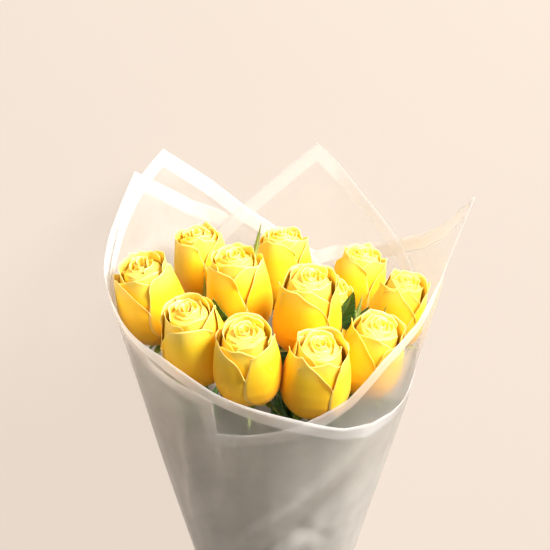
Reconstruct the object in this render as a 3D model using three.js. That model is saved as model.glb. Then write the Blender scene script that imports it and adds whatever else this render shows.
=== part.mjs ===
// A bunch of twelve long-stemmed yellow roses, tied at the neck and wrapped in four sheets of frosted
// florist's film. It lies on its back: millimetres, +Z up, blooms toward +Y, resting on Z = 0.
import * as THREE from 'three';

// ---- Driving dimensions -------------------------------------------------------------------------
const HEAD_LEVEL = 380;        // along the bunch's axis, from the tie to the middle of the blooms
const TAIL_LENGTH = 110;       // stems below the tie
const BLOOM_RADIUS = 25;       // widest radius of a full-sized bloom
const BLOOM_LENGTH = 72;       // base of the petals to the lip
const STEM_DIAMETER = 5.5;
const FILM_THICKNESS = 0.5;    // each sheet, drawn thicker than real film so that it is a sound solid
const SKIRT_LENGTH = 78;       // film below the tie
const SKIRT_FLARE = 0.42;      // outward slope of the skirt
const NECK_ROUNDING = 25;      // length over which the film turns from the neck into the cone
const CONE_BULGE = 10;         // extra fullness of the cone just above the neck
const TIP_SLOPE = 0.12;        // outward slope of the film above the blooms
const TIP_FLARE = 18;          // how far the right corner leans out
const PRESSED_DEPTH = 12;      // how far the bunch's weight flattens the wrap
const RIBBON_WIDTH = 24;
const RIBBON_THICKNESS = 0.8;
const STEM_BAND_WIDTH = 14;
const STEM_BAND_THICKNESS = 1.2;
const HIP_LENGTH = 9;          // green swelling under the petals
const HIP_RADIUS = 5.6;
const SEPAL_REACH = 16;        // from the bloom's axis to a sepal's tip
const LEAF_LENGTH = 72;
const LEAF_WIDTH = 22;
const LEAF_THICKNESS = 1.0;

// ---- Clearances ---------------------------------------------------------------------------------
const TOUCH_GAP = 0.3;         // between pieces that touch
const STEM_GAP = 0.8;          // between neighbouring stems at the tie
const FILM_GAP = 0.5;          // between one sheet and the next
const BLOOM_TO_FILM = 2.4;     // between the outermost bloom and the innermost sheet
const BAND_CLEARANCE = 0.8;    // between the stems and their band
const NECK_CLEARANCE = 1.0;    // between the stems' band and the innermost sheet

// ---- The twelve roses ---------------------------------------------------------------------------
// side and front place a rose in the bunch's cross-section at HEAD_LEVEL, in bloom radii (+side is
// right, +front faces up). rise is the bloom's height above HEAD_LEVEL and cut the stem's extra tail
// in millimetres. leaf is the leaf's direction in degrees, its reach from the stem in bloom radii and
// its tip's rise.
const ROSES = [
  { side: -3.88, front: 0.16, size: 1.02, rise: 6, cut: 0, leaf: [-73, 0.72, -42] },
  { side: -2.36, front: -2.4, size: 0.9, rise: 3, cut: -6, leaf: [8, 0.72, -40] },
  { side: -1.16, front: -0.24, size: 1, rise: 7, cut: -3, leaf: [97, 1.2, 6] },
  { side: 0.3, front: -3.04, size: 0.92, rise: -6, cut: 0, leaf: [61, 0.72, -44] },
  { side: 1.04, front: 1.4, size: 1, rise: 12, cut: -8, leaf: [162, 0.72, -40] },
  { side: 2.84, front: -2.4, size: 0.86, rise: -12, cut: -4, leaf: [46, 0.72, -48] },
  { side: 4.08, front: -0.08, size: 0.84, rise: -6, cut: -2, leaf: [103, 0.64, -52] },
  { side: -2.52, front: 2.4, size: 1, rise: -2, cut: -5, leaf: [-134, 0.72, -44] },
  { side: -0.84, front: 3.6, size: 1, rise: -4, cut: 0, leaf: [16, 0.8, -36] },
  { side: 1.4, front: 3.64, size: 1, rise: -17, cut: -7, leaf: [-22, 0.72, -48] },
  { side: 3.24, front: 2.24, size: 0.96, rise: -18, cut: -2, leaf: [-165, 0.64, -50] },
  { side: 1.72, front: -0.64, size: 0.9, rise: -21, cut: -4, leaf: [66, 1.7, 5] },
];

// ---- The four sheets, innermost first -----------------------------------------------------------
// Each rim is a list of [azimuth, rise]: degrees round the bunch from the front, + to the right, and
// the height above HEAD_LEVEL. A sheet starts and ends on its first and last azimuth.
const COLUMN_STEP = 12;
const SHEETS = [
  { name: 'wrap_sheet_back', rim: [[84, -30], [132, 20], [168, 82], [204, 5], [240, -35]] },
  { name: 'wrap_sheet_inner_left', rim: [[-204, -30], [-132, 89], [-72, 5], [-24, -28]] },
  { name: 'wrap_sheet_right', rim: [[-36, -64], [-12, -57], [12, -46], [36, -6], [84, 102], [132, 10],
    [204, -35]] },
  { name: 'wrap_sheet_left', rim: [[-228, -40], [-120, 79], [-72, 19], [-24, -16], [12, -45], [48, -65],
    [72, -58], [96, -35]] },
];

// ---- Sizes that follow --------------------------------------------------------------------------
const degrees = THREE.MathUtils.degToRad;
const places = ROSES.map((rose) => new THREE.Vector2(rose.side, rose.front).multiplyScalar(BLOOM_RADIUS));
const spacings = places.flatMap((a, i) => places.slice(i + 1).map((b) => a.distanceTo(b)));
const NECK_SCALE = (STEM_DIAMETER + STEM_GAP) / Math.min(...spacings);
const BUNDLE_RADIUS = Math.max(...places.map((p) => p.length())) * NECK_SCALE + STEM_DIAMETER / 2;
const NECK_RADIUS = BUNDLE_RADIUS + BAND_CLEARANCE + STEM_BAND_THICKNESS + NECK_CLEARANCE;
const HEAD_RADIUS = BLOOM_TO_FILM
  + Math.max(...places.map((p, i) => p.length() + BLOOM_RADIUS * ROSES[i].size));
const FILM_PITCH = FILM_THICKNESS + FILM_GAP;
const WRAP_THICKNESS = SHEETS.length * FILM_PITCH - FILM_GAP;

// Length along a slope that starts level and turns straight over NECK_ROUNDING.
const rounded = (length, turn) => Math.hypot(length, turn) - turn;
const CONE_SLOPE = (HEAD_RADIUS - NECK_RADIUS - CONE_BULGE) / rounded(HEAD_LEVEL, NECK_ROUNDING);

// The axis is inclined so that the flattened wrap and the stems' ends both rest on Z = 0.
const restRun = TAIL_LENGTH + HEAD_LEVEL;
const restDrop = HEAD_RADIUS + WRAP_THICKNESS - BUNDLE_RADIUS;
const INCLINE = Math.atan2(restDrop, restRun) - Math.asin(PRESSED_DEPTH / Math.hypot(restRun, restDrop));
const TIE_HEIGHT = TAIL_LENGTH * Math.sin(INCLINE) + (BUNDLE_RADIUS + TOUCH_GAP) / Math.cos(INCLINE);

// A point of the bunch: level along the axis, side to the right, front away from the surface.
function place(level, side, front) {
  const y = level * Math.cos(INCLINE) - front * Math.sin(INCLINE);
  const z = TIE_HEIGHT + level * Math.sin(INCLINE) + front * Math.cos(INCLINE);
  return new THREE.Vector3(side, y, z);
}

// How far the stems have spread at a level, from NECK_SCALE at the tie to 1 at HEAD_LEVEL.
const STEM_TURN = 60;
function spread(level) {
  const share = rounded(Math.max(level, 0), STEM_TURN) / rounded(HEAD_LEVEL, STEM_TURN);
  return THREE.MathUtils.lerp(NECK_SCALE, 1, share);
}

function stemPoint(index, level) {
  const at = places[index].clone().multiplyScalar(spread(level));
  return place(level, at.x, at.y);
}

function stemDirection(index, level) {
  return stemPoint(index, level + 1).sub(stemPoint(index, level - 1)).normalize();
}

const bloomBase = (index) => HEAD_LEVEL + ROSES[index].rise - BLOOM_LENGTH * ROSES[index].size / 2;

// ---- Materials ----------------------------------------------------------------------------------
const petalYellow = new THREE.MeshStandardMaterial({ color: 0xffd227, roughness: 0.55 });
const sepalGreen = new THREE.MeshStandardMaterial({ color: 0x7d9a3c, roughness: 0.6 });
const stemGreen = new THREE.MeshStandardMaterial({ color: 0x4f7d2c, roughness: 0.6 });
const leafGreen = new THREE.MeshStandardMaterial({ color: 0x2e5a1e, roughness: 0.5 });
const frostedFilm = new THREE.MeshStandardMaterial({ color: 0xe9e6e0, roughness: 0.45 });
const creamSatin = new THREE.MeshStandardMaterial({ color: 0xf1e6cf, roughness: 0.35 });
const twine = new THREE.MeshStandardMaterial({ color: 0x5c6f45, roughness: 0.8 });

// ---- Shapes -------------------------------------------------------------------------------------
// A lathe stands on its own axis; a piece of a rose is turned onto its stem's line afterwards.
function lathe(profile, segments) {
  const points = profile.map(([radius, height]) => new THREE.Vector2(radius, height));
  return new THREE.LatheGeometry(points, segments).rotateX(Math.PI / 2);
}

function onStem(geometry, material, index, level) {
  const mesh = new THREE.Mesh(geometry, material);
  const direction = stemDirection(index, level);
  mesh.position.copy(stemPoint(index, level));
  mesh.quaternion.setFromUnitVectors(new THREE.Vector3(0, 0, 1), direction);
  return mesh;
}

function bloom(index) {
  const outline = [[0, 0], [0.34, 0.01], [0.66, 0.1], [0.9, 0.26], [1, 0.46], [0.97, 0.66],
    [0.88, 0.86], [0.9, 0.97], [0.78, 1], [0.42, 0.95], [0, 0.93]];
  const { size } = ROSES[index];
  const profile = outline.map(([r, h]) => [r * BLOOM_RADIUS * size, h * BLOOM_LENGTH * size]);
  return onStem(lathe(profile, 12), petalYellow, index, bloomBase(index));
}

// The hip and its five sepals: every second corner of the lathe is drawn in, which leaves a star.
function calyx(index) {
  const profile = [[0, -HIP_LENGTH], [STEM_DIAMETER / 2, -HIP_LENGTH], [HIP_RADIUS, -0.5 * HIP_LENGTH],
    [HIP_RADIUS, -2.2], [0.6 * SEPAL_REACH, -3.6], [SEPAL_REACH, -9.2], [SEPAL_REACH + 0.6, -8.2],
    [0.62 * SEPAL_REACH, -2.4], [HIP_RADIUS, -1], [0, -TOUCH_GAP]];
  const geometry = lathe(profile, 10);
  const position = geometry.attributes.position;
  for (let i = 0; i < position.count; i += 1) {
    const radius = Math.hypot(position.getX(i), position.getY(i));
    const corner = Math.floor(i / profile.length);
    if (corner % 2 === 1 && radius > HIP_RADIUS) {
      const kept = THREE.MathUtils.lerp(HIP_RADIUS, radius, 0.12) / radius;
      const height = THREE.MathUtils.lerp(-1.7, position.getZ(i), 0.3);
      position.setXYZ(i, position.getX(i) * kept, position.getY(i) * kept, height);
    }
  }
  return onStem(geometry, sepalGreen, index, bloomBase(index));
}

function stem(index) {
  const start = -(TAIL_LENGTH + ROSES[index].cut);
  const end = bloomBase(index) - HIP_LENGTH - TOUCH_GAP;
  const steps = 14;
  const points = Array.from({ length: steps + 1 },
    (_, i) => stemPoint(index, THREE.MathUtils.lerp(start, end, i / steps)));
  const section = new THREE.Shape(new THREE.EllipseCurve(0, 0, STEM_DIAMETER / 2, STEM_DIAMETER / 2)
    .getPoints(7).slice(0, -1));
  const extrudePath = new THREE.CatmullRomCurve3(points);
  return new THREE.Mesh(new THREE.ExtrudeGeometry(section, { steps, extrudePath }), stemGreen);
}

// A blade cut flat, then bent along a line that leaves the stem and rises beside it.
function leaf(index) {
  const [direction, reachShare, tipRise] = ROSES[index].leaf;
  const half = LEAF_WIDTH / 2;
  const stalk = 0.24 * LEAF_LENGTH;
  const outline = new THREE.Shape();
  outline.moveTo(-1, 0);
  outline.lineTo(-1, stalk);
  outline.bezierCurveTo(-half, 1.2 * stalk, -1.1 * half, 0.75 * LEAF_LENGTH, 0, LEAF_LENGTH);
  outline.bezierCurveTo(1.1 * half, 0.75 * LEAF_LENGTH, half, 1.2 * stalk, 1, stalk);
  outline.lineTo(1, 0);
  const geometry = new THREE.ExtrudeGeometry(outline,
    { depth: LEAF_THICKNESS, bevelEnabled: false, curveSegments: 5 });
  const across = new THREE.Vector2(Math.sin(degrees(direction)), -Math.cos(degrees(direction)));
  const away = new THREE.Vector2(Math.cos(degrees(direction)), Math.sin(degrees(direction)));
  const rootLevel = HEAD_LEVEL + tipRise - LEAF_LENGTH;
  const rootReach = STEM_DIAMETER / 2 + 2 * TOUCH_GAP;
  const tipReach = reachShare * BLOOM_RADIUS;
  const position = geometry.attributes.position;
  for (let i = 0; i < position.count; i += 1) {
    const along = position.getY(i);
    const level = rootLevel + along;
    const out = rootReach + position.getZ(i) + (tipReach - rootReach) * (along / LEAF_LENGTH) ** 0.5;
    const at = places[index].clone().multiplyScalar(spread(level));
    at.addScaledVector(away, out).addScaledVector(across, position.getX(i));
    position.setXYZ(i, ...place(level, at.x, at.y).toArray());
  }
  return new THREE.Mesh(geometry, leafGreen);
}

// ---- The wrap -----------------------------------------------------------------------------------
// Inner radius of the innermost sheet at a level and an azimuth from the front.
function wrapRadius(level, azimuth) {
  if (level < 0) return NECK_RADIUS + SKIRT_FLARE * rounded(level, NECK_ROUNDING);
  const coneLevel = Math.min(level, HEAD_LEVEL + BLOOM_LENGTH / 3);
  const above = level - coneLevel;
  const fullness = CONE_BULGE * (1 - Math.exp(-((coneLevel / (3 * NECK_ROUNDING)) ** 2)));
  const leaning = Math.max(0, Math.cos(degrees(azimuth - 84))) ** 2;
  const flare = TIP_FLARE * leaning * (above / 90) ** 2;
  return NECK_RADIUS + CONE_SLOPE * rounded(coneLevel, NECK_ROUNDING) + fullness + TIP_SLOPE * above + flare;
}

// A point of the wrap at a depth out from the innermost face, flattened where the bunch rests.
function wrapPoint(level, azimuth, depth) {
  const radius = wrapRadius(level, azimuth) + depth;
  const point = place(level, radius * Math.sin(degrees(azimuth)), radius * Math.cos(degrees(azimuth)));
  point.z = Math.max(point.z, WRAP_THICKNESS - depth);
  return point;
}

// Every sheet is cut from one grid of cells, so that the sheets nest. The ribbon's edges are among its
// levels, so that the ribbon lies on the film.
const LEVEL_STEP = 42;
const LEVELS = [-SKIRT_LENGTH, -0.6 * SKIRT_LENGTH, -RIBBON_WIDTH / 2, 0, RIBBON_WIDTH / 2];
for (let level = RIBBON_WIDTH; level < 2 * HEAD_LEVEL; level += LEVEL_STEP) LEVELS.push(level);

// A corner of the grid, and a point part of the way from one corner to another.
const corner = (azimuth, level, depths) => ({
  azimuth, level, inner: wrapPoint(level, azimuth, depths[0]), outer: wrapPoint(level, azimuth, depths[1]),
});
const between = (a, b, share) => ({
  azimuth: THREE.MathUtils.lerp(a.azimuth, b.azimuth, share),
  level: THREE.MathUtils.lerp(a.level, b.level, share),
  inner: a.inner.clone().lerp(b.inner, share),
  outer: a.outer.clone().lerp(b.outer, share),
});

// The part of a polygon that lies below the rim.
function belowRim(polygon, rimAt) {
  const kept = [];
  polygon.forEach((point, i) => {
    const next = polygon[(i + 1) % polygon.length];
    const [here, there] = [rimAt(point.azimuth) - point.level, rimAt(next.azimuth) - next.level];
    if (here >= 0) kept.push(point);
    if (here * there < 0) kept.push(between(point, next, here / (here - there)));
  });
  return kept;
}

// A closed shell between two depths, from a foot level up to its rim. Its faces are the grid's
// triangles, and a wall closes each edge that has only one triangle.
function shell(azimuths, foot, rimAt, depths) {
  const vertices = [];
  const seen = new Map();
  const number = (point) => {
    const key = `${((point.azimuth + 720) % 360).toFixed(3)} ${point.level.toFixed(3)}`;
    if (!seen.has(key)) {
      seen.set(key, vertices.length);
      vertices.push(point.inner, point.outer);
    }
    return seen.get(key);
  };
  const faces = [];
  const edges = new Set();
  const levels = LEVELS.filter((level) => level >= foot);
  for (let azimuth = azimuths[0]; azimuth < azimuths[1]; azimuth += COLUMN_STEP) {
    const next = azimuth + COLUMN_STEP;
    for (let j = 0; j + 1 < levels.length; j += 1) {
      const [low, high] = [levels[j], levels[j + 1]];
      const [a, b, c, d] = [corner(azimuth, low, depths), corner(next, low, depths),
        corner(next, high, depths), corner(azimuth, high, depths)];
      for (const triangle of [[a, b, c], [a, c, d]]) {
        const ids = belowRim(triangle, rimAt).map(number).filter((id, i, all) => id !== all.at(i - 1));
        for (let k = 1; k + 1 < ids.length; k += 1) {
          faces.push([ids[0] + 1, ids[k] + 1, ids[k + 1] + 1], [ids[0], ids[k + 1], ids[k]]);
        }
        if (ids.length < 3) continue;
        ids.forEach((id, i) => edges.add(`${id} ${ids[(i + 1) % ids.length]}`));
      }
    }
  }
  for (const edge of edges) {
    const [from, to] = edge.split(' ').map(Number);
    if (!edges.has(`${to} ${from}`)) faces.push([from, to, to + 1], [from, to + 1, from + 1]);
  }
  const geometry = new THREE.BufferGeometry().setFromPoints(vertices);
  geometry.setIndex(faces.flat());
  geometry.computeVertexNormals();
  return geometry;
}

function rimLevel(rim, azimuth) {
  const end = Math.max(1, rim.findIndex(([at]) => at >= azimuth));
  const [[fromAzimuth, fromRise], [toAzimuth, toRise]] = [rim[end - 1], rim[end]];
  const share = (azimuth - fromAzimuth) / (toAzimuth - fromAzimuth);
  return HEAD_LEVEL + THREE.MathUtils.lerp(fromRise, toRise, share);
}

function sheet(layer) {
  const { name, rim } = SHEETS[layer];
  const depth = layer * FILM_PITCH;
  const azimuths = [rim[0][0], rim.at(-1)[0]];
  const geometry = shell(azimuths, -SKIRT_LENGTH, (azimuth) => rimLevel(rim, azimuth),
    [depth, depth + FILM_THICKNESS]);
  const mesh = new THREE.Mesh(geometry, frostedFilm);
  mesh.name = name;
  return mesh;
}

function ribbonBand() {
  const depth = WRAP_THICKNESS + TOUCH_GAP;
  const geometry = shell([0, 360], -RIBBON_WIDTH / 2, () => RIBBON_WIDTH / 2,
    [depth, depth + RIBBON_THICKNESS]);
  const mesh = new THREE.Mesh(geometry, creamSatin);
  mesh.name = 'ribbon_band';
  return mesh;
}

// The band that binds the stems themselves, under the film.
function stemBand() {
  const [inner, half] = [BUNDLE_RADIUS + BAND_CLEARANCE, STEM_BAND_WIDTH / 2];
  const outer = inner + STEM_BAND_THICKNESS;
  const mesh = new THREE.Mesh(lathe([[inner, -half], [outer, -half], [outer, half], [inner, half],
    [inner, -half]], 24), twine);
  mesh.position.copy(place(0, 0, 0));
  mesh.quaternion.setFromUnitVectors(new THREE.Vector3(0, 0, 1), place(1, 0, 0).sub(place(0, 0, 0)));
  mesh.name = 'stem_band';
  return mesh;
}

// ---- Assembly -----------------------------------------------------------------------------------
const bunch = new THREE.Group();
ROSES.forEach((_, index) => {
  const pieces = { bloom: bloom(index), calyx: calyx(index), stem: stem(index), leaf: leaf(index) };
  for (const [piece, mesh] of Object.entries(pieces)) {
    mesh.name = `rose_${String(index + 1).padStart(2, '0')}_${piece}`;
    bunch.add(mesh);
  }
});
bunch.add(stemBand());
SHEETS.forEach((_, layer) => bunch.add(sheet(layer)));
bunch.add(ribbonBand());

// The origin is the middle of the footprint, on the surface that the bunch lies on.
const extent = new THREE.Box3().setFromObject(bunch);
const middle = extent.getCenter(new THREE.Vector3());
const group = new THREE.Group();
bunch.position.set(-middle.x, -middle.y, 0);
group.add(bunch);

export default group;
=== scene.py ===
"""A bunch of twelve yellow roses in four sheets of frosted florist's film, lying on its back."""
import math
import random

import bpy
import numpy as np
from mathutils import Matrix


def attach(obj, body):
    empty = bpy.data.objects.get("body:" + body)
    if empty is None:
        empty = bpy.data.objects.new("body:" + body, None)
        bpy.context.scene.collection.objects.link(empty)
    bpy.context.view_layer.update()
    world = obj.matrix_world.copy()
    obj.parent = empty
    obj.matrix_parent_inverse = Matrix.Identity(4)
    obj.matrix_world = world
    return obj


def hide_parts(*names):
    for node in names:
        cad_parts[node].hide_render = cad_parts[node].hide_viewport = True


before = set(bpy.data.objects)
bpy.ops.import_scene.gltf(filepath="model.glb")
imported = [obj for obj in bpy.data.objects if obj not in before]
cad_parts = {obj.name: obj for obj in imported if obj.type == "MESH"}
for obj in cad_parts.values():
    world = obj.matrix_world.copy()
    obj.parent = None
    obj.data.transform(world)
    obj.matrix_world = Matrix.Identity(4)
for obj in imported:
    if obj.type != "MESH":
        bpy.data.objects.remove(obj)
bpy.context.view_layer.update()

MM = 0.001
ROSES = range(1, 13)


# ---- What the frame says ------------------------------------------------------------------------
def vertices(node):
    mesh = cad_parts[node].data
    flat = np.empty(3 * len(mesh.vertices))
    mesh.vertices.foreach_get("co", flat)
    return flat.reshape(-1, 3)


def rose_node(number, piece):
    return f"rose_{number:02d}_{piece}"


def unit(vector):
    return vector / np.linalg.norm(vector)


# The bunch's own axes: SIDE is to the right, AXIS runs from the tie to the blooms, FRONT faces up.
band = vertices("stem_band")
TIE = band.mean(0)
AXIS = np.linalg.svd(band - TIE)[2][2]
AXIS = AXIS * np.sign(AXIS[1])
SIDE = np.array([1.0, 0.0, 0.0])
FRONT = unit(np.cross(SIDE, AXIS))


def place(level, side, front):
    """Points of the bunch: levels along its axis and places in its cross-section, in metres."""
    level, side, front = np.broadcast_arrays(level, side, front)
    return TIE + level[..., None] * AXIS + side[..., None] * SIDE + front[..., None] * FRONT


def unplace(points):
    offset = points - TIE
    return offset @ AXIS, offset @ SIDE, offset @ FRONT


class Rose:
    """Where one rose's bloom is: its base, direction, radius and length, from the CAD solids."""

    def __init__(self, number):
        self.number = number
        bloom, calyx = vertices(rose_node(number, "bloom")), vertices(rose_node(number, "calyx"))
        self.axis = unit(bloom.mean(0) - calyx.mean(0))
        along = (bloom - calyx.mean(0)) @ self.axis
        self.base = calyx.mean(0) + along.min() * self.axis
        self.length = along.max() - along.min()
        self.radius = np.linalg.norm(np.cross(bloom - self.base, self.axis), axis=1).max()
        self.side = unit(np.cross(self.axis, FRONT))
        self.up = np.cross(self.side, self.axis)

    def local(self, x, y, z):
        """Points in the bloom's own frame: z along its axis from its base, y towards the front."""
        return self.base - x[..., None] * self.side + y[..., None] * self.up + z[..., None] * self.axis


roses = [Rose(n) for n in ROSES]
# The inner left sheet's corner is the highest point of its rim, 89 mm above the middle of the blooms.
HEAD_LEVEL = float(unplace(vertices("wrap_sheet_inner_left"))[0].max()) - 89 * MM


# ---- Mesh helpers -------------------------------------------------------------------------------
def smoothstep(low, high, x):
    t = np.clip((x - low) / (high - low), 0, 1)
    return t * t * (3 - 2 * t)


def grid_faces(rows, columns, first=0):
    """Quads of a grid of points that is stored row by row."""
    i, j = np.meshgrid(np.arange(rows - 1), np.arange(columns - 1), indexing="ij")
    a = (first + i * columns + j).ravel()
    return np.stack([a, a + 1, a + columns + 1, a + columns], 1)


def slab(front_face, back_face, flip=False):
    """A closed thin solid between two grids of points, as vertices and quads."""
    rows, columns = front_face.shape[:2]
    count = rows * columns
    points = np.concatenate([front_face.reshape(-1, 3), back_face.reshape(-1, 3)])
    front, back = grid_faces(rows, columns), grid_faces(rows, columns, count)[:, ::-1]
    index = np.arange(count).reshape(rows, columns)
    rim = np.concatenate([index[0, :-1], index[:-1, -1], index[-1, :0:-1], index[:0:-1, 0]])
    after = np.roll(rim, -1)
    wall = np.stack([after, rim, rim + count, after + count], 1)
    faces = np.concatenate([front, back, wall])
    return points, faces[:, ::-1] if flip else faces


def both_faces(grid):
    """A grid's numbers at the points of a slab: once for its front and once for its back."""
    return np.concatenate([grid.ravel(), grid.ravel()])


def tube(centres, radii, segments=12, squash=1.0):
    """A closed tube through centres, as vertices, quads and the share of the way along it."""
    direction = np.gradient(centres, axis=0)
    direction /= np.linalg.norm(direction, axis=1, keepdims=True)
    guide = np.array([0.31, 0.17, 0.94])
    across = np.cross(direction, guide)
    across /= np.linalg.norm(across, axis=1, keepdims=True)
    over = np.cross(direction, across)
    turn = np.linspace(0, 2 * math.pi, segments, endpoint=False)
    ring = (np.cos(turn)[None, :, None] * across[:, None, :]
            + squash * np.sin(turn)[None, :, None] * over[:, None, :])
    points = (centres[:, None, :] + np.asarray(radii)[:, None, None] * ring).reshape(-1, 3)
    faces = []
    for i in range(len(centres) - 1):
        for j in range(segments):
            k = (j + 1) % segments
            lower, upper = i * segments, (i + 1) * segments
            faces.append((lower + j, lower + k, upper + k, upper + j))
    last = (len(centres) - 1) * segments
    for j in range(segments // 2 - 1):
        end = (j, j + 1, segments - 2 - j, segments - 1 - j)
        faces.append(end[::-1])
        faces.append(tuple(last + k for k in end))
    share = np.repeat(np.linspace(0, 1, len(centres)), segments)
    return points, np.array(faces), share


class Builder:
    """Gathers solids, with numbers kept at their points, into one object."""

    def __init__(self):
        self.points, self.faces, self.values, self.count = [], [], {}, 0

    def add(self, points, faces, **values):
        self.points.append(points)
        self.faces.append(faces + self.count)
        self.count += len(points)
        for name, value in values.items():
            self.values.setdefault(name, []).append(np.broadcast_to(value, len(points)))

    def build(self, name, material):
        points, faces = np.concatenate(self.points), np.concatenate(self.faces)
        mesh = bpy.data.meshes.new(name)
        mesh.vertices.add(len(points))
        mesh.vertices.foreach_set("co", points.ravel())
        mesh.loops.add(faces.size)
        mesh.loops.foreach_set("vertex_index", faces.ravel().astype(np.int32))
        mesh.polygons.add(len(faces))
        mesh.polygons.foreach_set("loop_start", np.arange(0, faces.size, faces.shape[1], dtype=np.int32))
        mesh.update(calc_edges=True)
        mesh.validate()
        mesh.polygons.foreach_set("use_smooth", np.full(len(faces), True))
        for key, parts in self.values.items():
            attribute = mesh.attributes.new(key, "FLOAT", "POINT")
            attribute.data.foreach_set("value", np.concatenate(parts).astype(np.float32))
        mesh.materials.append(material)
        piece = bpy.data.objects.new(name, mesh)
        bpy.context.scene.collection.objects.link(piece)
        return piece


def settle(piece, slot, *nodes):
    """The piece rides on the bunch and stands for its CAD nodes."""
    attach(piece, "root")
    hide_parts(*nodes)
    return piece


# ---- Materials ----------------------------------------------------------------------------------
class Shader:
    """A material's nodes, written as short calls."""

    def __init__(self, name):
        self.material = bpy.data.materials.new(name)
        self.material.use_nodes = True
        self.tree = self.material.node_tree
        self.shader = self.tree.nodes["Principled BSDF"]

    def node(self, kind, **inputs):
        node = self.tree.nodes.new(kind)
        for key, value in inputs.items():
            if hasattr(node, key):
                setattr(node, key, value)
            else:
                self.put(node.inputs[key.replace("_", " ")], value)
        return node

    def put(self, socket, value):
        if isinstance(value, bpy.types.NodeSocket):
            self.tree.links.new(value, socket)
        else:
            socket.default_value = value

    def attribute(self, name):
        return self.node("ShaderNodeAttribute", attribute_name=name).outputs["Fac"]

    def position(self):
        return self.node("ShaderNodeTexCoord").outputs["Object"]

    def maths(self, operation, a, b):
        node = self.node("ShaderNodeMath", operation=operation)
        self.put(node.inputs[0], a)
        self.put(node.inputs[1], b)
        return node.outputs[0]

    def ramp(self, value, *stops):
        """Colours (or greys) at positions along a value."""
        node = self.node("ShaderNodeValToRGB")
        elements = node.color_ramp.elements
        while len(elements) < len(stops):
            elements.new(0.5)
        for element, (position, colour) in zip(elements, stops):
            element.position = position
            element.color = (*colour, 1) if hasattr(colour, "__len__") else (colour, colour, colour, 1)
        self.put(node.inputs["Fac"], value)
        return node.outputs["Color"]

    def mix(self, share, a, b):
        node = self.node("ShaderNodeMix", data_type="RGBA")
        self.put(node.inputs["Factor"], share)
        colours = [s for s in node.inputs if s.type == "RGBA"]
        self.put(colours[0], a)
        self.put(colours[1], b)
        return next(s for s in node.outputs if s.type == "RGBA")

    def noise(self, scale, detail=2.0, roughness=0.5, vector=None):
        node = self.node("ShaderNodeTexNoise", Scale=scale, Detail=detail, Roughness=roughness)
        self.put(node.inputs["Vector"], vector or self.position())
        return node.outputs["Fac"]

    def bands(self, along_x, along_y=0.0, distortion=0.0):
        """Fine lines across the direction in which along_x grows."""
        lines = self.node("ShaderNodeCombineXYZ")
        self.put(lines.inputs[0], along_x)
        self.put(lines.inputs[1], along_y)
        wave = self.node("ShaderNodeTexWave", wave_type="BANDS", bands_direction="X", Scale=1.0,
                         Distortion=distortion)
        self.put(wave.inputs["Vector"], lines.outputs[0])
        return wave.outputs["Fac"]

    def bump(self, height, strength, distance):
        node = self.node("ShaderNodeBump", Strength=strength, Distance=distance)
        self.put(node.inputs["Height"], height)
        self.put(self.shader.inputs["Normal"], node.outputs["Normal"])

    def set(self, **inputs):
        for key, value in inputs.items():
            self.put(self.shader.inputs[key.replace("_", " ")], value)
        return self.material


def petal_material():
    s = Shader("rose_petal")
    height, lip, tone, across = (s.attribute(n) for n in ("height", "lip", "tone", "across"))
    # The petals' colour up their height is partly the rose's own deeper gold low down and partly painted
    # light. Painted shade darkens the base and lower body, and a painted highlight pales the tops that face
    # the key light.
    body = s.ramp(height, (0.0, (0.5, 0.42, 0.03)), (0.1, (0.9, 0.36, 0.002)), (0.42, (0.95, 0.44, 0.003)),
                  (0.68, (0.98, 0.58, 0.013)), (1.0, (1.0, 0.77, 0.17)))
    # A painted highlight: towards the petals' lips the colour pales to cream, standing in for light
    # catching their thin rolled edges.
    pale = s.mix(s.ramp(lip, (0.0, 0.0), (0.6, 0.15), (1.0, 0.85)), body, (1.0, 0.85, 0.4, 1))
    cloud = s.noise(45.0, 3.0, 0.55)
    toned = s.mix(s.maths("MULTIPLY", tone, 0.35), pale, (1.0, 0.68, 0.03, 1))
    colour = s.mix(s.ramp(cloud, (0.4, 0.0), (0.75, 0.25)), toned, (1.0, 0.7, 0.04, 1))
    veins = s.bands(s.maths("MULTIPLY", across, 9.0), s.maths("MULTIPLY", height, 0.6))
    fine = s.noise(900.0, 2.0, 0.6)
    relief = s.maths("ADD", s.maths("MULTIPLY", veins, 0.5), s.maths("MULTIPLY", fine, 0.3))
    s.bump(relief, 0.1, 0.0004)
    return s.set(Base_Color=colour, Roughness=0.5, Subsurface_Weight=0.3, Subsurface_Scale=0.003,
                 Subsurface_Radius=(1.0, 0.55, 0.08), Sheen_Weight=0.06, Sheen_Roughness=0.4,
                 Specular_IOR_Level=0.35)


def leaf_material(name, dark, light, vein):
    s = Shader(name)
    cloud = s.noise(120.0, 3.0, 0.6)
    body = s.mix(s.ramp(cloud, (0.3, 0.0), (0.7, 1.0)), dark, light)
    colour = s.mix(s.attribute("vein"), body, vein)
    s.bump(s.maths("ADD", s.attribute("vein"), s.maths("MULTIPLY", s.noise(500.0), 0.4)), 0.35, 0.0004)
    rough = s.ramp(cloud, (0.3, 0.38), (0.7, 0.52))
    return s.set(Base_Color=colour, Roughness=rough, Subsurface_Weight=0.12, Subsurface_Scale=0.003,
                 Subsurface_Radius=(0.4, 1.0, 0.2), Specular_IOR_Level=0.4)


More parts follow.
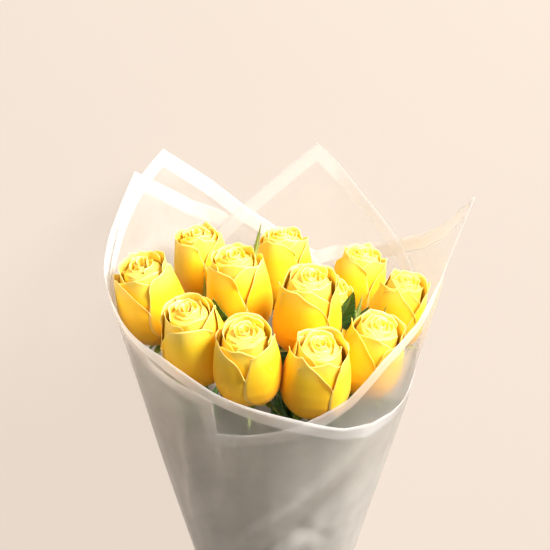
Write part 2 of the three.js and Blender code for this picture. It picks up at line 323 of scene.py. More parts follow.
def stem_material():
    s = Shader("rose_stem")
    point = s.node("ShaderNodeMapping", Scale=(900.0, 60.0, 900.0))
    s.put(point.inputs["Vector"], s.position())
    streaks = s.noise(1.0, 3.0, 0.6, point.outputs[0])
    cut = s.attribute("cut")
    green = s.mix(s.ramp(streaks, (0.3, 0.0), (0.7, 1.0)), (0.075, 0.17, 0.03, 1), (0.16, 0.29, 0.07, 1))
    blush = s.mix(s.ramp(s.noise(14.0, 2.0), (0.5, 0.0), (0.75, 0.5)), green, (0.2, 0.12, 0.05, 1))
    colour = s.mix(cut, blush, (0.62, 0.66, 0.42, 1))
    s.bump(streaks, 0.25, 0.0003)
    return s.set(Base_Color=colour, Roughness=0.45, Specular_IOR_Level=0.4)


def film_material():
    s = Shader("frosted_film")
    edge, level = s.attribute("edge"), s.attribute("level")
    band = s.ramp(s.maths("DIVIDE", edge, 25.0), (0.46, 1.0), (0.52, 0.0))
    cloud = s.noise(25.0, 3.0, 0.5)
    veil = s.maths("MULTIPLY", s.ramp(cloud, (0.3, 0.9), (0.7, 1.1)),
                   s.ramp(level, (0.5, 0.84), (0.7, 0.74), (0.82, 0.54), (0.92, 0.28), (1.05, 0.2)))
    alpha = s.mix(band, s.maths("MULTIPLY", veil, s.attribute("body")),
                  s.maths("MULTIPLY", s.attribute("print"), 0.6))
    colour = s.mix(band, (0.95, 0.905, 0.845, 1), (1.0, 0.965, 0.93, 1))
    frost = s.maths("ADD", s.maths("MULTIPLY", s.noise(1400.0, 2.0, 0.6), 0.3), s.noise(60.0, 4.0, 0.6))
    s.bump(frost, 0.15, 0.0012)
    rough = s.ramp(cloud, (0.3, 0.3), (0.7, 0.36))
    through = s.mix(band, s.ramp(level, (0.3, 0.34), (0.62, 0.48), (0.85, 0.74)), (0.25, 0.25, 0.25, 1))
    return s.set(Base_Color=colour, Alpha=alpha, Roughness=rough, Transmission_Weight=through, IOR=1.3,
                 Subsurface_Weight=0.6, Subsurface_Scale=0.004, Subsurface_Radius=(1.0, 0.97, 0.92))


def ribbon_material():
    s = Shader("satin_ribbon")
    edge, turn = s.attribute("edge"), s.attribute("turn")
    weave = s.bands(s.maths("MULTIPLY", edge, 4.0), s.maths("MULTIPLY", turn, 30.0), distortion=0.6)
    shade = s.ramp(weave, (0.0, (0.78, 0.7, 0.55)), (1.0, (0.88, 0.81, 0.67)))
    selvedge = s.ramp(s.maths("DIVIDE", edge, 3.0), (0.2, 1.0), (0.4, 0.0))
    colour = s.mix(s.maths("MULTIPLY", selvedge, 0.35), shade, (0.7, 0.6, 0.45, 1))
    s.bump(weave, 0.15, 0.0002)
    return s.set(Base_Color=colour, Roughness=0.32, Sheen_Weight=0.3, Sheen_Roughness=0.3, Anisotropic=0.5)


def twine_material():
    s = Shader("green_twine")
    twist = s.bands(s.maths("MULTIPLY", s.attribute("turn"), 40.0), distortion=1.2)
    colour = s.ramp(twist, (0.0, (0.07, 0.1, 0.04)), (1.0, (0.17, 0.21, 0.09)))
    s.bump(twist, 0.6, 0.0006)
    return s.set(Base_Color=colour, Roughness=0.85)


# ---- Blooms -------------------------------------------------------------------------------------
# The outer silhouette of a bud: its radius, in bud radii, at heights from its base to its lip.
BUD_HEIGHTS = np.array([0.0, 0.03, 0.1, 0.2, 0.34, 0.48, 0.64, 0.8, 0.92, 1.0])
BUD_RADII = np.array([0.24, 0.5, 0.79, 0.98, 1.06, 1.04, 0.97, 0.87, 0.78, 0.77])
PETAL_THICKNESS = 0.4 * MM
PETAL_ROWS, PETAL_COLUMNS = 30, 27
BLOOM_FULLNESS = 1.05               # how much the petals stand out past the plain CAD bud
GOLDEN = math.radians(137.5)
OUTER_PETALS, MIDDLE_PETALS, INNER_PETALS = 4, 5, 8

# Each rose's look: where the tip of its outermost petal is (degrees, 0 left, 90 front, 180 right), which
# way its petals' edges fall (+1 to the right), how far it has opened (0 to 1) and how pointed its
# petals are.
LOOKS = {1: (28, 1, 1.0, 1.0), 2: (165, -1, 0.35, 2.2), 3: (165, -1, 0.2, 0.6), 4: (175, -1, 0.1, 0.5),
         5: (58, 1, 0.45, 0.7), 6: (172, -1, 0.4, 2.6), 7: (60, 1, 0.1, 3.0), 8: (200, -1, 0.25, 0.6),
         9: (20, 1, 0.4, 0.6), 10: (48, 1, 0.3, 1.8), 11: (30, 1, 0.3, 1.0), 12: (200, 1, 0.2, 1.0)}


def bud_radius(height):
    """Smooth interpolation of the silhouette."""
    t = np.clip(height, 0, 1)
    fine = np.linspace(0, 1, 201)
    coarse = np.interp(fine, BUD_HEIGHTS, BUD_RADII)
    kernel = np.hanning(15)
    padded = np.concatenate([np.full(7, coarse[0]), coarse, np.full(7, coarse[-1])])
    return np.interp(t, fine, np.convolve(padded, kernel / kernel.sum(), "valid"))


def petal(rose, waves, azimuth, half_width, top, layer, drops, falls=(2.4, 2.4), roll=1.0, curl=1.0,
          tuck=0.6, point=0.0, lean=0.0):
    """One petal as a closed thin solid, in the bud's frame.

    waves are four phases of the bud's ripples, azimuth is where the petal's middle is and half_width half
    of the angle that it spans. top is the height of its tip in bud lengths, layer its radius in bud radii
    where the bud is widest, drops how far its two shoulders fall and falls how suddenly, roll and curl
    how far its lip turns out and over, tuck how much one edge lies under its neighbour, point how far a
    small tip stands up, and lean how far its top leans out, in millimetres.
    """
    a, t = np.meshgrid(np.linspace(-1, 1, PETAL_COLUMNS), np.linspace(0, 1, PETAL_ROWS))
    t = t ** 0.85
    shoulder = np.where(a < 0, drops[0] * np.abs(a) ** falls[0], drops[1] * np.abs(a) ** falls[1])
    scallop = 0.006 * np.sin(7 * a + waves[2] + 3 * azimuth) + 0.004 * np.sin(13 * a + waves[3] + azimuth)
    crest = top * (1 - shoulder + point * np.exp(-np.abs(a / 0.13) ** 1.3) + scallop)
    height = crest * t
    width = half_width * (0.5 + 0.5 * smoothstep(0, 0.35, height))
    # The outline is rounded where the fallen edge meets the side.
    theta = azimuth + width * a * (1 - 0.2 * smoothstep(0.5, 1, t) * np.abs(a) ** 3)
    base_share = 0.6 + 0.4 * layer
    share = base_share + (layer - base_share) * smoothstep(0.0, 0.5, height)
    # Inner petals close over the heart towards their tops.
    share = share * (1 - 0.1 * (1 - layer) * smoothstep(0.7, 1, height))
    radius = rose.radius * BLOOM_FULLNESS * bud_radius(height) * share
    edge = (crest - height) * rose.length
    lip = np.exp(-(edge / (3.4 * MM)) ** 1.4)
    outward = roll * (0.35 + 0.8 * np.abs(a) ** 1.5)
    radius = radius + lip * outward * 2.4 * MM - tuck * a * MM
    radius = radius + lean * smoothstep(0.4, 1.0, height) * (1 - 0.4 * np.abs(a)) * MM
    swell = np.sin(2 * theta + waves[0]) * np.sin(5 * height + waves[1])
    radius = radius * (1 + 0.018 * swell + 0.012 * np.sin(5 * theta + waves[1] + 2 * height))
    ripple = np.sin(5.3 * a + waves[2] + azimuth) * 0.5 + np.sin(9.1 * a + waves[3] - azimuth) * 0.3
    radius = radius + ripple * np.exp(-edge / (6 * MM)) * 0.9 * MM * (0.4 + layer)
    z = height * rose.length - curl * lip ** 2 * outward * 1.5 * MM
    radius = np.maximum(radius, 0.5 * MM)
    outer = np.stack([radius * np.cos(theta), radius * np.sin(theta), z], -1)
    du, dv = np.gradient(outer, axis=1), np.gradient(outer, axis=0)
    normal = np.cross(du, dv)
    normal /= np.maximum(np.linalg.norm(normal, axis=-1, keepdims=True), 1e-12)
    side_edge = (1 - np.abs(a)) * half_width * radius
    taper = np.clip(np.minimum(edge, side_edge) / (1.4 * MM), 0.4, 1)[..., None]
    inner = outer - normal * PETAL_THICKNESS * taper
    points, faces = slab(outer, inner)
    # The lip attribute masks the painted highlight along the petal's top and side edges.
    near_edge = np.minimum(edge, side_edge * 1.3)
    lip_highlight_mask = np.exp(-near_edge / (1.5 * MM))
    return points, faces, dict(height=both_faces(height), lip=both_faces(lip_highlight_mask), across=both_faces(a))


def bud_core(rose):
    """The closed petals in the middle of the bud, up to just below their lips."""
    shares = np.linspace(0, 1, 24)
    height = np.concatenate([np.linspace(0.02, 0.88, 24), 0.88 + 0.05 * np.sin(shares[1:] * math.pi / 2)])
    side = 0.74 * bud_radius(height[:24])
    radii = np.concatenate([side, side[-1] * np.cos(shares[1:] * math.pi / 2)]) * rose.radius
    centres = rose.base + np.outer(height * rose.length, rose.axis)
    points, faces, _ = tube(centres, np.maximum(radii, 0.05 * MM), 20)
    # The core's lip value gives it a faint share of the painted lip highlight.
    return points, faces, dict(height=np.repeat(height, 20), lip=0.25, across=0.0)


def bloom(rose, random_source):
    """A bud's petals, from the outermost in, each a turn further round than the last."""
    builder = Builder()
    waves = [random_source.uniform(0, 2 * math.pi) for _ in range(4)]
    first, hand, opened, pointed = LOOKS[rose.number]
    vary = random_source.uniform

    def add(azimuth, top, drops, falls, tuck, **shape):
        # The crown is tilted: the front petals are lower than the back ones.
        top = top - (0.03 + 0.02 * opened) * math.sin(azimuth)
        if hand < 0:
            drops, falls = drops[::-1], falls[::-1]
        points, faces, values = petal(rose, waves, azimuth=azimuth, top=top, drops=drops, falls=falls,
                                      tuck=hand * tuck, **shape)
        points = rose.local(points[:, 0], points[:, 1], points[:, 2])
        builder.add(points, faces, tone=vary(0.0, 0.7), **values)

    core, faces, values = bud_core(rose)
    builder.add(core, faces, tone=0.5, **values)
    azimuth = math.radians(first)
    for i in range(OUTER_PETALS):
        share = i / (OUTER_PETALS - 1)
        add(azimuth, top=0.92 + 0.03 * share + vary(-0.015, 0.015), half_width=vary(1.3, 1.5),
            layer=1.0 - 0.1 * share, drops=(vary(0.05, 0.14), vary(0.3, 0.46)), falls=(3.0, vary(1.6, 2.1)),
            roll=vary(0.7, 1.2), curl=vary(0.8, 1.4), tuck=0.9, point=vary(0.015, 0.035) * pointed,
            lean=(0.2 + 2.6 * opened) * vary(0.3, 1.0))
        azimuth += hand * math.radians(vary(124, 146))
    for i in range(MIDDLE_PETALS):
        share = i / (MIDDLE_PETALS - 1)
        add(azimuth, top=0.965 + vary(-0.01, 0.01), half_width=1.5 - 0.1 * share,
            layer=0.87 - 0.29 * share + 0.04 * opened, drops=(0.05, vary(0.12, 0.24)), falls=(3.0, 2.0),
            roll=0.6, curl=0.7, tuck=1.2, point=vary(0.0, 0.02), lean=1.2 * opened)
        azimuth += hand * GOLDEN
    for i in range(INNER_PETALS):
        share = i / (INNER_PETALS - 1)
        add(azimuth, top=0.975 + 0.015 * share + vary(-0.008, 0.008), half_width=1.6 + 0.9 * share,
            layer=0.52 - 0.44 * share ** 0.85, drops=(0.02, 0.09 - 0.05 * share), falls=(3.0, 2.4),
            roll=0.45 - 0.3 * share, curl=0.5 - 0.3 * share, tuck=0.9, point=vary(0, 0.01))
        azimuth += hand * GOLDEN
    piece = builder.build(f"rose_{rose.number:02d}_petals", PETAL)
    return settle(piece, "petal", rose_node(rose.number, "bloom"))


# ---- Greens -------------------------------------------------------------------------------------
def spline(points, count):
    """A smooth line through points (Catmull-Rom), with count points on it."""
    padded = np.vstack([2 * points[0] - points[1], points, 2 * points[-1] - points[-2]])
    at = np.linspace(0, len(points) - 1 - 1e-9, count)
    i = at.astype(int)
    t = (at - i)[:, None]
    a, b, c, d = padded[i], padded[i + 1], padded[i + 2], padded[i + 3]
    square, cube = 2 * a - 5 * b + 4 * c - d, 3 * b - a - 3 * c + d
    return 0.5 * (2 * b + (c - a) * t + square * t ** 2 + cube * t ** 3)


def stem_line(number):
    """The centre line of a CAD stem, from its cut end to the hip, and its radius."""
    points = vertices(rose_node(number, "stem"))
    level = unplace(points)[0]
    order = np.argsort(level)
    breaks = np.where(np.diff(level[order]) > 6 * MM)[0] + 1
    rings = np.split(points[order], breaks)
    radius = np.linalg.norm(rings[3] - rings[3].mean(0), axis=1).max()
    return np.array([ring.mean(0) for ring in rings]), radius


def thorn(builder, at, outward, along, size):
    """A thorn that hooks down towards the cut end of the stem."""
    s = np.linspace(0, 1, 6)
    centres = at + size * (s[:, None] * outward - 0.45 * s[:, None] ** 2 * along)
    points, faces, _ = tube(centres, size * 0.42 * (1 - s) ** 0.8 + 0.05 * MM, 8, 1.5)
    builder.add(points, faces, cut=0.12)


def stem(rose, random_source):
    """A stem with its nodes, thorns and cut end, along the CAD stem's line."""
    line, radius = stem_line(rose.number)
    count = 120
    centres = spline(line, count)
    share = np.linspace(0, 1, count)
    radii = np.full(count, radius * 0.96)
    # Nodes, where leaves once grew, and the taper just under the hip.
    for _ in range(5):
        at = random_source.uniform(0.08, 0.85)
        radii += 0.5 * MM * np.exp(-((share - at) / 0.006) ** 2)
    radii *= 1 - 0.12 * smoothstep(0.5, 1, share)
    sway = (np.sin(share * 19 + rose.number)[:, None] * SIDE
            + np.cos(share * 16 + rose.number)[:, None] * FRONT)
    centres = centres + 0.25 * MM * sway * np.sin(math.pi * share)[:, None]
    points, faces, along = tube(centres, radii, 14)
    builder = Builder()
    # The cut end shows pale pith.
    builder.add(points, faces, cut=np.where(along == 0, 1.0, 0.0))
    for _ in range(7):
        at = random_source.randint(4, 100)
        angle = random_source.uniform(0, 2 * math.pi)
        direction = unit(centres[at + 1] - centres[at])
        sideways = unit(np.cross(direction, FRONT))
        outward = math.cos(angle) * sideways + math.sin(angle) * np.cross(direction, sideways)
        thorn(builder, centres[at] + outward * radii[at] * 0.8, outward, direction,
              random_source.uniform(2.2, 3.6) * MM)
    return settle(builder.build(f"rose_{rose.number:02d}_stalk", STEM), "stem",
                  rose_node(rose.number, "stem"))


def blade(root, along, across, normal, length, width, teeth, fold, bend, lobes=0.0):
    """A leaflet or sepal as a closed thin solid, folded along its midrib, and where its veins are.

    teeth is how many teeth each edge has, fold and bend how far its sides and its tip rise, and lobes
    how far the small side lobes of a sepal stand out.
    """
    rows, columns = 46, 13
    x, t = np.meshgrid(np.linspace(-1, 1, columns), np.linspace(0, 1, rows))
    shape = np.sin(math.pi * t ** 0.72) ** 0.85 * (1 - 0.35 * t) + 0.02
    saw = (t * teeth) % 1.0
    half = width / 2 * shape * (1 - 0.14 * saw * (teeth > 0) * np.abs(x) ** 3)
    half = half + lobes * np.exp(-(((t * 5) % 1 - 0.5) / 0.12) ** 2) * (t < 0.7) * (np.abs(x) > 0.9)
    rise = fold * np.abs(x) * half + bend * length * (t ** 2 - 0.25 * t)
    rise = rise + 0.02 * width * np.sin(11 * t + 2 * x)
    forward = t * length * (1 - 0.25 * bend ** 2 * t) - 0.02 * length * saw * (teeth > 0) * np.abs(x) ** 4
    top = (root + forward[..., None] * along + (x * half)[..., None] * across + rise[..., None] * normal)
    bottom = top - 0.35 * MM * normal
    points, faces = slab(top, bottom)
    midrib = np.exp(-(np.abs(x) * half / (0.45 * MM)) ** 2)
    side_veins = np.exp(-((((t * 9 - 1.1 * np.abs(x)) % 1) - 0.5) / 0.09) ** 2) * 0.45 * (np.abs(x) < 0.92)
    vein = np.clip(np.maximum(midrib, side_veins), 0, 1)
    return points, faces, both_faces(vein)


# Long sepals that stand up between the blooms: the rose they grow from, then their root and tip (each
# level, side and front in millimetres), width and curl.
SPRIGS = [(3, (352, -50, -24), (403, -50, -32), 6, 0.12), (3, (352, -56, -26), (392, -57, -34), 5, -0.2),
          (3, (390, -18, -38), (433, -11, -50), 4.5, -0.4), (12, (345, 60, 0), (390, 71, 6), 7, 0.1),
          (11, (350, 80, 20), (396, 89, 24), 5, -0.2), (12, (350, 66, 8), (380, 65, 12), 6, 0.15),
          (9, (343, -26, 97), (372, -31, 108), 5, 0.15), (9, (342, -9, 99), (362, -5, 108), 5, 0.1)]


def calyx(rose, random_source):
    """The hip with its five sepals, and the sepals that stand up between the blooms."""
    points = vertices(rose_node(rose.number, "calyx"))
    along = (points - rose.base) @ rose.axis
    bottom = along.min()
    builder = Builder()
    share = np.linspace(0, 1, 14)
    # The hip: a waisted green cup between the stem and the petals.
    radii = 5.6 * MM * np.interp(share, [0, 0.12, 0.4, 0.65, 0.85, 1], [0.47, 0.56, 0.92, 1.0, 0.9, 0.97])
    centres = rose.base + np.outer(bottom * (1 - share) + 1.2 * MM * share, rose.axis)
    hip, faces, _ = tube(centres, radii, 16)
    builder.add(hip, faces, vein=0.0)
    start = random_source.uniform(0, 72)
    for i in range(5):
        angle = math.radians(start + 72 * i + random_source.uniform(-9, 9))
        outward = math.cos(angle) * rose.side + math.sin(angle) * rose.up
        raised = random_source.uniform(-1.0, 0.35)
        direction = unit(outward + raised * rose.axis)
        across = np.cross(rose.axis, outward)
        normal = np.cross(across, direction)
        curl = random_source.uniform(-0.5, 0.1) if raised < 0.6 else random_source.uniform(0.1, 0.35)
        root = rose.base - 0.8 * MM * rose.axis + 3.6 * MM * outward
        length = random_source.uniform(20, 27) * MM
        points, faces, vein = blade(root, direction, across, -normal, length, 7.5 * MM, 0, 0.35, curl,
                                    lobes=random_source.choice((0, 1.6, 2.2)) * MM)
        builder.add(points, faces, vein=vein)
    for number, root, tip, width, curl in SPRIGS:
        if number != rose.number:
            continue
        root, tip = (place(*(np.array(at, float) * MM)) for at in (root, tip))
        direction = unit(tip - root)
        normal = unit(FRONT - (FRONT @ direction) * direction)
        points, faces, vein = blade(root, direction, np.cross(normal, direction), -normal,
                                    np.linalg.norm(tip - root), width * MM, 7, 0.4, curl, 0.8 * MM)
        builder.add(points, faces, vein=vein)
    return settle(builder.build(f"rose_{rose.number:02d}_sepals", SEPAL), "sepal",
                  rose_node(rose.number, "calyx"))


# How far a rose's leaf stands from its plain CAD blade: level, side and front of its tip in millimetres.
# Its root moves by ROOT_SHARE of that.
LEAF_SHIFTS = {12: (15, 0, 0), 3: (6, -15, 0)}
ROOT_SHARE = 0.7
# The lower leaf on each stem is a copy of the upper one, this far down and this much closer in.
LOWER_LEAF_DROP = 68 * MM
LOWER_LEAF_SPREAD = 0.8
# Each leaflet: its start and its lean outwards, then its length (like its start, in leaf lengths) and its
# width in millimetres.
LEAFLETS = [(0.36, 0.0, 0.7, 29), (0.28, 0.8, 0.5, 21), (0.31, -0.8, 0.5, 21)]


def leaf(rose, random_source):
    """A compound leaf along the CAD blade: a long leaflet at the tip and two smaller ones lower down."""
    points = vertices(rose_node(rose.number, "leaf"))
    middle = points.mean(0)
    along, across, _ = np.linalg.svd(points - middle)[2]
    along = along * np.sign(along @ AXIS)
    # The upper side faces away from the leaf's own stem.
    stem_side = stem_line(rose.number)[0]
    nearest = stem_side[np.argmin(np.linalg.norm(stem_side - middle, axis=1))]
    normal = np.cross(along, across)
    normal = normal * np.sign(normal @ (middle - nearest))
    t = (points - middle) @ along
    shift = np.array(LEAF_SHIFTS.get(rose.number, (0, 0, 0))) * MM
    shift = shift @ np.array([AXIS, SIDE, FRONT])
    root = points[t < t.min() + 2 * MM].mean(0) + ROOT_SHARE * shift
    tip = points[t > t.max() - 2 * MM].mean(0) + shift
    along = unit(tip - root)
    normal = unit(normal - (normal @ along) * along)
    across = np.cross(normal, along)
    length = np.linalg.norm(tip - root)
    builder = Builder()
    stalk_end = root + 0.4 * length * along
    s = np.linspace(0, 1, 12)[:, None]
    stalk, faces, _ = tube(root + s * (stalk_end - root), np.full(12, 0.75 * MM), 8)
    builder.add(stalk, faces, vein=0.35)
    for start, lean, size, width in LEAFLETS:
        direction = unit(along + lean * across)
        sideways = np.cross(normal, direction)
        points, faces, vein = blade(root + start * length * along, direction, sideways, normal,
                                    size * length, width * MM, 15, 0.28, random_source.uniform(-0.06, 0.06))
        builder.add(points, faces, vein=vein)
        level, side, front = unplace(points)
        lower = place(level - LOWER_LEAF_DROP, LOWER_LEAF_SPREAD * side, LOWER_LEAF_SPREAD * front)
        builder.add(lower, faces, vein=vein)
    return settle(builder.build(f"rose_{rose.number:02d}_leaflets", LEAF), "leaf",
                  rose_node(rose.number, "leaf"))


# ---- The film -----------------------------------------------------------------------------------
# Each sheet's rim as azimuths from the front (degrees, + to the right) and heights above HEAD_LEVEL in
# millimetres, innermost sheet first. depth is how far it lies out from the innermost one, in millimetres,
# and body and band are how dense its frost and its white border are.
SHEETS = {
    "wrap_sheet_back": dict(depth=0.0, body=0.55, band=0.3,
                            rim=[(84, -30), (108, -8), (132, 22), (148, 48), (165, 82), (184, 44),
                                 (204, 5), (222, -18), (240, -35)]),
    "wrap_sheet_inner_left": dict(depth=1.0, body=1.35, band=1.0,
                                  rim=[(-204, -30), (-186, 2), (-171, 24), (-155, 56), (-139, 89),
                                       (-120, 62), (-105, 36), (-90, 18), (-72, 5), (-48, -12),
                                       (-24, -28)]),
    "wrap_sheet_right": dict(depth=2.0, body=1.0, band=0.85,
                             rim=[(-44, -160), (-38, -78), (-34, -64), (-25, -62), (-8, -56), (8, -50),
                                  (18, -40), (28, -28), (41, 1), (57, 22), (70, 54), (84, 103),
                                  (100, 62), (116, 34), (135, 10), (170, -14), (204, -35)]),
    "wrap_sheet_left": dict(depth=3.0, body=1.15, band=1.0,
                            rim=[(-228, -40), (-200, -14), (-170, 12), (-150, 36), (-126, 79),
                                 (-112, 56), (-98, 36), (-84, 25), (-67, 17), (-43, 4), (-22, -17),
                                 (-2, -33), (13, -45), (29, -58), (43, -64), (56, -65), (68, -60),
                                 (78, -54), (96, -40)]),
}
# Long folds of the film: from and to (each azimuth in degrees and level), width and height, the last
# three in millimetres.
FOLDS = [((-28, 196), (42, 302), 11.0, 4.2), ((-24, 168), (36, 258), 12.0, -3.0),
         ((-4, 184), (28, 214), 10.0, 1.8), ((24, 182), (44, 250), 10.0, 1.8),
         ((6, 226), (34, 200), 10.0, -1.6), ((-52, 206), (-38, 330), 11.0, 2.2),
         ((-30, 230), (-12, 330), 14.0, 1.6), ((64, 200), (80, 330), 12.0, 2.2),
         ((120, 180), (150, 300), 14.0, 1.8), ((-130, 170), (-100, 300), 12.0, 1.8)]
SKIRT_LENGTH = 78 * MM
NECK_ROUNDING = 25 * MM
CONE_TOP = HEAD_LEVEL + 64 * MM / 3  # above this level the wall widens less
FILM_STACK = 3.5 * MM               # from the surface up to the innermost sheet
FILM_THICKNESS = 0.3                # in millimetres
CORNER_AZIMUTH = 84                 # of the right sheet's corner, which leans out
GATHER_PHASE, CREASE_PHASE = 0.8, 3.0  # the same for all sheets, so that they nest
CREASES = 16


def rounded(length, turn):
    """A length that starts to count gently, over a turn's length."""
    return np.hypot(length, turn) - turn


def cone_fullness(level):
    """How far the cone bulges past a straight one."""
    return 10 * MM * (1 - np.exp(-(level / (3 * NECK_ROUNDING)) ** 2))


def measure_wrap():
    """The wrap's radius at the tie and its slope, from the innermost CAD sheet."""
    level, side, front = unplace(vertices("wrap_sheet_back"))
    radius = np.hypot(side, front)
    neck = radius[np.abs(level) < 2 * MM].min()
    cone = (level > 60 * MM) & (level < HEAD_LEVEL) & (front > -0.5 * radius)
    slope = (radius - neck - cone_fullness(level))[cone] / rounded(level[cone], NECK_ROUNDING)
    return neck, float(np.median(slope))


NECK_RADIUS, CONE_SLOPE = measure_wrap()


def wrap_radius(level, azimuth):
    """The wrap's radius at a level, with the skirt below the tie, in metres."""
    cone_level = np.clip(level, 0, CONE_TOP)
    above = np.maximum(level - cone_level, 0) * (level > 0)
    lean = np.maximum(0, np.cos(np.radians(azimuth - CORNER_AZIMUTH))) ** 2
    cone = (NECK_RADIUS + CONE_SLOPE * rounded(cone_level, NECK_ROUNDING) + cone_fullness(cone_level)
            + 0.12 * above + 18 * MM * lean * (above / (90 * MM)) ** 2)
    return np.where(level < 0, NECK_RADIUS + 0.42 * rounded(level, NECK_ROUNDING), cone)


def gathers(level, azimuth, phase):
    """Pleats that start at the tie and die away up the cone and down the skirt."""
    angle = np.radians(azimuth)
    grow = smoothstep(5 * MM, 70 * MM, np.abs(level))
    fade = np.exp(-np.maximum(level, 0) / (130 * MM))
    skirt = np.where(level < 0, 1.6, 1.0)
    fine = np.sin(17 * angle + phase) + 0.7 * np.sin(29 * angle + 2.3 * phase + 3 * level)
    broad = np.sin(7 * angle + 1.7 * phase + 2 * level)
    return (0.9 * fine * fade + 1.2 * broad * fade) * grow * skirt * MM


def creases(level, azimuth, phase):
    """Soft dents and folds of stiff film: low ridges that run up and across the cone."""
    result = np.zeros_like(level)
    rng = random.Random(int(phase * 100))
    for _ in range(CREASES):
        at, height = rng.uniform(-180, 180), rng.uniform(0.05, 0.42)
        slope, width, length = rng.uniform(-1.2, 1.2), rng.uniform(3.5, 9), rng.uniform(0.05, 0.13)
        strength = rng.uniform(0.5, 1.4) * rng.choice((-1, 1))
        away = (azimuth - at + 180) % 360 - 180
        along = level - height
        across = (away * np.maximum(level, 0.05) * 2.2 - slope * along * 100) / width
        result += strength * MM * np.exp(-np.abs(across) ** 1.5) * np.exp(-(along / length) ** 2)
    return result * smoothstep(20 * MM, 110 * MM, level)


def folds(level, azimuth):
    """The height of the long folds at points of the film, in metres."""
    result = np.zeros_like(level)
    x, y = np.radians(azimuth) * wrap_radius(level, azimuth) / MM, level / MM
    for (from_at, from_level), (to_at, to_level), width, height in FOLDS:
        ends = [(np.radians(at) * wrap_radius(np.array(up * MM), at) / MM, up)
                for at, up in ((from_at, from_level), (to_at, to_level))]
        (x0, y0), (x1, y1) = ends
        reach = math.hypot(x1 - x0, y1 - y0)
        ux, uy = (x1 - x0) / reach, (y1 - y0) / reach
        along = ((x - x0) * ux + (y - y0) * uy) / reach
        across = ((y - y0) * ux - (x - x0) * uy) / width
        # One side of a fold is steeper than the other.
        profile = np.exp(-np.where(across > 0, across * 1.6, across) ** 2)
        ends_fade = smoothstep(-0.15, 0.25, along) * (1 - smoothstep(0.75, 1.15, along))
        result += height * MM * profile * ends_fade
    return result


def film_sheet(name, depth, body, band, rim):
    """One sheet of film round the wrap's cone, from the skirt's hem to its rim."""
    phase = 1 + depth
    knots, rises = np.array(rim, float).T
    azimuths = np.unique(np.concatenate([np.arange(knots[0], knots[-1], 1.5), knots]))
    crest = HEAD_LEVEL + np.interp(azimuths, knots, rises) * MM
    rows = 96
    share = np.linspace(0, 1, rows)[:, None]
    level = -SKIRT_LENGTH + (crest[None, :] + SKIRT_LENGTH) * share
    azimuth = np.broadcast_to(azimuths, level.shape)
    skirt_wave = np.where(level < 0, 1 + 0.06 * np.sin(np.radians(azimuth) * 5 + phase), 1)
    level = level * skirt_wave
    radius = wrap_radius(level, azimuth)
    radius = radius + gathers(level, azimuth, GATHER_PHASE) + creases(level, azimuth, CREASE_PHASE)
    radius = radius + 0.15 * creases(level, azimuth, phase) + folds(level, azimuth)
    below = crest - level
    curl = 1.1 * np.exp(-below / (6 * MM)) * np.sin(np.radians(azimuth) * 9 + phase) * MM

    def face(offset):
        r = radius + depth * MM + offset * MM + curl
        angle = np.radians(azimuth)
        points = place(level, r * np.sin(angle), r * np.cos(angle))
        floor = FILM_STACK - (depth + offset) * MM
        # The weight of the bunch flattens the film where it rests.
        lift = points[..., 2] - floor
        points[..., 2] = floor + np.where(lift > 0, lift, 0)
        return points

    inner, outer = face(0.0), face(FILM_THICKNESS)
    # Distance to the rim across the film, in millimetres.
    ends = np.minimum(azimuth - azimuths[0], azimuths[-1] - azimuth) * np.radians(1) * radius * 1000
    rim_points = outer[-1]
    gap = np.empty(level.shape)
    for row in range(rows):
        near = rim_points[None, :, :] - outer[row][:, None, :]
        gap[row] = np.sqrt((near ** 2).sum(-1).min(1)) * 1000
    points, faces = slab(outer, inner)
    builder = Builder()
    builder.add(points, faces, edge=both_faces(np.minimum(gap, ends)), level=both_faces(level / HEAD_LEVEL),
                body=body, print=band)
    piece = settle(builder.build(name.replace("wrap", "film"), FILM), "film", name)


# ---- Ties ---------------------------------------------------------------------------------------
RIBBON_HALF = 10.6                  # half of the ribbon's width, in millimetres
RIBBON_THICKNESS = 0.28
# Each turn of the ribbon: its start and end in degrees, its shift along the neck and its rise.
RIBBON_TURNS = [(0, 366, -1.2, 0.0), (20, 388, 1.4, 0.5)]


def ribbon():
    """Two turns of satin ribbon round the neck, each with its end lapped over its start."""
    builder = Builder()
    width, length = 2 * RIBBON_HALF * MM, 0.0
    for turn, (start, end, shift, rise) in enumerate(RIBBON_TURNS):
        azimuth, share = np.meshgrid(np.linspace(start, end, 200), np.linspace(-1, 1, 15))
        level = (RIBBON_HALF * share + shift * np.cos(np.radians(azimuth - 40 * turn))) * MM
        sag = 0.12 * np.sin(np.radians(azimuth) * 11 + 4 * turn) * (1 - share ** 2)
        lap = 0.7 * smoothstep(end - 30, end - 6, azimuth)
        radius = wrap_radius(np.abs(level), azimuth)
        radius = radius + FILM_STACK + (0.45 + rise + sag + lap) * MM

        def face(offset):
            r = radius + offset * MM
            points = place(level, r * np.sin(np.radians(azimuth)), r * np.cos(np.radians(azimuth)))
            points[..., 2] = np.maximum(points[..., 2], 0.05 * MM)
            return points

        points, faces = slab(face(RIBBON_THICKNESS), face(0.0), flip=True)
        length += math.radians(end - start) * radius.mean()
        edge = (1 - np.abs(share)) * RIBBON_HALF
        builder.add(points, faces, edge=both_faces(edge), turn=both_faces(azimuth) / 360)
    piece = settle(builder.build("satin_ribbon", RIBBON), "ribbon", "ribbon_band")


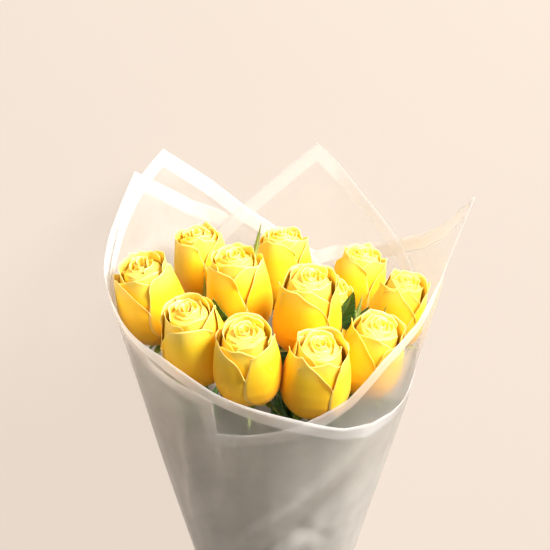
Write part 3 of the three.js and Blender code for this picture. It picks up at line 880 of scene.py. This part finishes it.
def twine():
    """Close turns of twine that bind the stems."""
    level, side, front = unplace(vertices("stem_band"))
    radius = np.hypot(side, front)
    inner, outer, half = radius.min(), radius.max(), np.abs(level).max()
    thickness = (outer - inner) * 1.1
    turns = int(2 * half / thickness) - 1
    t = np.linspace(0, turns, 36 * turns)
    angle = 2 * math.pi * t
    levels = -half + thickness * (0.5 + t)
    r = (inner + outer) / 2
    centres = place(levels, r * np.sin(angle), r * np.cos(angle))
    strand = thickness / 2 * (1 + 0.06 * np.sin(14 * angle))
    points, faces, share = tube(centres, strand, 8)
    builder = Builder()
    builder.add(points, faces, turn=share * turns)
    return settle(builder.build("twine_binding", TWINE), "twine", "stem_band")


# ---- Floor, light and camera --------------------------------------------------------------------
def aim(thing, position, target, up):
    """Turns a camera or a light to look from a position at a target, with up at the picture's top."""
    back = unit(np.asarray(position) - np.asarray(target))
    right = unit(np.cross(up, back))
    turn = Matrix(np.column_stack([right, np.cross(back, right), back]).tolist()).to_4x4()
    thing.matrix_world = Matrix.Translation(position) @ turn


CAMERA_TILT = math.radians(27)      # towards the blooms, from square on to the bunch's axis
CAMERA_DISTANCE = 2.2
VIEW_WIDTH = 0.44                   # what the picture spans at that distance
VIEW_LEVEL, VIEW_SIDE = HEAD_LEVEL + 0.026, 0.0004
SENSOR = 36.0
FLOOR_HALF = 15.0


def add_camera():
    target = place(VIEW_LEVEL, VIEW_SIDE, 0.0)
    camera = bpy.data.cameras.new("camera")
    camera.sensor_width = SENSOR
    camera.lens = SENSOR * CAMERA_DISTANCE / VIEW_WIDTH
    camera.clip_end = 20
    thing = bpy.data.objects.new("camera", camera)
    bpy.context.scene.collection.objects.link(thing)
    back = math.cos(CAMERA_TILT) * FRONT + math.sin(CAMERA_TILT) * AXIS
    aim(thing, target + CAMERA_DISTANCE * back, target, AXIS)
    bpy.context.scene.camera = thing


def add_light(name, direction, distance, size, power, colour):
    light = bpy.data.lights.new(name, "AREA")
    light.shape = "DISK"
    light.size = size
    light.energy = power
    light.color = colour
    thing = bpy.data.objects.new(name, light)
    bpy.context.scene.collection.objects.link(thing)
    target = place(HEAD_LEVEL, 0.0, 0.0)
    aim(thing, target + distance * unit(np.array(direction)), target, (0, 0, 1))


def add_stage():
    """The floor, which glows a little so that the bunch's shadow stays pale, the light and the world."""
    s = Shader("floor")
    grain = s.noise(3.0, 4.0, 0.5)
    colour = s.ramp(grain, (0.3, (0.085, 0.074, 0.063)), (0.7, (0.088, 0.077, 0.066)))
    s.set(Base_Color=colour, Roughness=0.9, Specular_IOR_Level=0.1,
          Emission_Color=(0.93, 0.8, 0.69, 1), Emission_Strength=0.83)
    mesh = bpy.data.meshes.new("floor")
    corners = [(x * FLOOR_HALF, y * FLOOR_HALF, 0) for x, y in ((-1, -1), (1, -1), (1, 1), (-1, 1))]
    mesh.from_pydata(corners, [], [(0, 1, 2, 3)])
    mesh.materials.append(s.material)
    floor = bpy.data.objects.new("floor", mesh)
    bpy.context.scene.collection.objects.link(floor)
    world = bpy.data.worlds.new("studio")
    bpy.context.scene.world = world
    world.use_nodes = True
    background = world.node_tree.nodes["Background"]
    background.inputs["Color"].default_value = (1.0, 0.93, 0.85, 1)
    background.inputs["Strength"].default_value = 0.38
    add_light("key", (0.62, 0.74, 0.5), 1.9, 0.9, 104, (1.0, 0.98, 0.95))
    bpy.context.scene.view_settings.view_transform = "Standard"


# ---- Assembly -----------------------------------------------------------------------------------
PETAL = petal_material()
SEPAL = leaf_material("rose_sepal", (0.16, 0.27, 0.05, 1), (0.3, 0.42, 0.1, 1), (0.42, 0.5, 0.18, 1))
LEAF = leaf_material("rose_leaf", (0.03, 0.09, 0.02, 1), (0.07, 0.17, 0.035, 1), (0.2, 0.32, 0.1, 1))
STEM = stem_material()
FILM = film_material()
RIBBON = ribbon_material()
TWINE = twine_material()
add_camera()
add_stage()
for rose in roses:
    bloom(rose, random.Random(rose.number))
    calyx(rose, random.Random(100 + rose.number))
    stem(rose, random.Random(200 + rose.number))
    leaf(rose, random.Random(300 + rose.number))
twine()
for name, shape in SHEETS.items():
    film_sheet(name, **shape)
ribbon()

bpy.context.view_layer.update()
